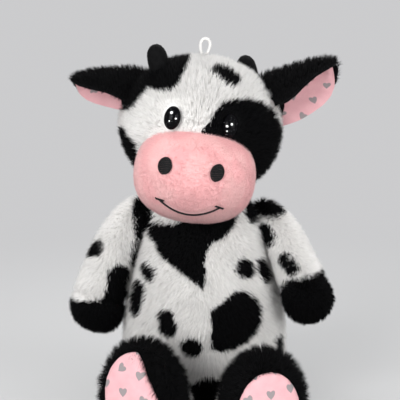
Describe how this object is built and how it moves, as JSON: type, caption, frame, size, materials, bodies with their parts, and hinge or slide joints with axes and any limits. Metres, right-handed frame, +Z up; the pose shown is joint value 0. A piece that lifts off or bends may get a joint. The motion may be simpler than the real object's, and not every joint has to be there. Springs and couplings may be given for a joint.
{
  "type": "plush cow",
  "caption": "Seated plush cow with a stuffed head, body and limbs, pink muzzle, ears, horns and a tail, and a cord loop to hang it by.",
  "frame": {"origin": "middle of the flat seat, on the surface that the cow sits on", "axes": "+Z up, along the cow's height; the cow faces -Y, and +X is the viewer's right from the front"},
  "size_m": [0.2181, 0.2448, 0.3165],
  "materials": {
    "body_skin": "long-pile plush",
    "body_filling": "polyester fibre",
    "pellet_pouch": "woven calico",
    "head_skin": "long-pile plush",
    "head_filling": "polyester fibre",
    "muzzle_skin": "short-pile plush",
    "muzzle_filling": "polyester fibre",
    "nostril_left": "embroidered thread",
    "nostril_right": "embroidered thread",
    "smile": "embroidered thread",
    "smile_tick_left": "embroidered thread",
    "smile_tick_right": "embroidered thread",
    "eye_left": "polished, with glitter",
    "eye_right": "polished, with glitter",
    "eye_washer_left": "moulded",
    "eye_washer_right": "moulded",
    "horn_skin_left": "velour",
    "horn_skin_right": "velour",
    "horn_filling_left": "polyester fibre",
    "horn_filling_right": "polyester fibre",
    "hanging_loop": "woven cord",
    "ear_back_left": "long-pile plush",
    "ear_lining_left": "printed cotton",
    "ear_back_right": "long-pile plush",
    "ear_lining_right": "printed cotton",
    "sleeve_left": "long-pile plush",
    "paw_left": "long-pile plush",
    "arm_filling_left": "polyester fibre",
    "sleeve_right": "long-pile plush",
    "paw_right": "long-pile plush",
    "arm_filling_right": "polyester fibre",
    "leg_skin_left": "long-pile plush",
    "foot_skin_left": "long-pile plush",
    "sole_left": "printed cotton",
    "leg_filling_left": "polyester fibre",
    "leg_skin_right": "long-pile plush",
    "foot_skin_right": "long-pile plush",
    "sole_right": "printed cotton",
    "leg_filling_right": "polyester fibre",
    "tail": "long-pile plush",
    "tail_tuft": "long-pile plush"
  },
  "bodies": {
    "body": {"body_skin": "body_skin", "body_filling": "body_filling", "pellet_pouch": "pellet_pouch"},
    "head": {"head_skin": "head_skin", "head_filling": "head_filling", "muzzle_skin": "muzzle_skin", "muzzle_filling": "muzzle_filling", "nostril_left": "nostril_left", "nostril_right": "nostril_right", "smile": "smile", "smile_tick_left": "smile_tick_left", "smile_tick_right": "smile_tick_right", "eye_left": "eye_left", "eye_right": "eye_right", "eye_washer_left": "eye_washer_left", "eye_washer_right": "eye_washer_right", "horn_skin_left": "horn_skin_left", "horn_skin_right": "horn_skin_right", "horn_filling_left": "horn_filling_left", "horn_filling_right": "horn_filling_right", "hanging_loop": "hanging_loop"},
    "ear_left": {"ear_back_left": "ear_back_left", "ear_lining_left": "ear_lining_left"},
    "ear_right": {"ear_back_right": "ear_back_right", "ear_lining_right": "ear_lining_right"},
    "arm_left": {"sleeve_left": "sleeve_left", "paw_left": "paw_left", "arm_filling_left": "arm_filling_left"},
    "arm_right": {"sleeve_right": "sleeve_right", "paw_right": "paw_right", "arm_filling_right": "arm_filling_right"},
    "leg_left": {"leg_skin_left": "leg_skin_left", "foot_skin_left": "foot_skin_left", "sole_left": "sole_left", "leg_filling_left": "leg_filling_left"},
    "leg_right": {"leg_skin_right": "leg_skin_right", "foot_skin_right": "foot_skin_right", "sole_right": "sole_right", "leg_filling_right": "leg_filling_right"},
    "tail": {"tail": "tail", "tail_tuft": "tail_tuft"}
  },
  "joints": [
    {"name": "head_turn", "type": "hinge", "parent": "body", "child": "head", "pos_m": [0, 0, 0.194], "axis": [0, 0, 1], "range_deg": [-20, 20]},
    {"name": "ear_left_flap", "type": "hinge", "parent": "head", "child": "ear_left", "pos_m": [-0.06065, -0.00233, 0.27747], "axis": [-0.0812, 0.9686, -0.2348], "range_deg": [-30, 30], "stiffness_Nm_per_rad": 0.02},
    {"name": "ear_right_flap", "type": "hinge", "parent": "head", "child": "ear_right", "pos_m": [0.06129, -0.00234, 0.26751], "axis": [-0.2049, -0.8161, 0.5404], "range_deg": [-30, 30], "stiffness_Nm_per_rad": 0.02},
    {"name": "arm_left_swing", "type": "hinge", "parent": "body", "child": "arm_left", "pos_m": [-0.04957, 0, 0.15721], "axis": [-0.9703, 0, 0.2419], "range_deg": [-35, 70]},
    {"name": "arm_right_swing", "type": "hinge", "parent": "body", "child": "arm_right", "pos_m": [0.04957, 0, 0.15721], "axis": [-0.9703, 0, -0.2419], "range_deg": [-45, 60]},
    {"name": "leg_left_swing", "type": "hinge", "parent": "body", "child": "leg_left", "pos_m": [-0.032, -0.07442, 0.0262], "axis": [-0.9397, 0.342, 0], "range_deg": [-30, 30]},
    {"name": "leg_right_swing", "type": "hinge", "parent": "body", "child": "leg_right", "pos_m": [0.036, -0.07257, 0.0262], "axis": [-0.9703, -0.2419, 0], "range_deg": [-30, 30]},
    {"name": "tail_wag", "type": "hinge", "parent": "body", "child": "tail", "pos_m": [0, 0.06862, 0.046], "axis": [0, 0, 1], "range_deg": [-40, 40]}
  ]
}
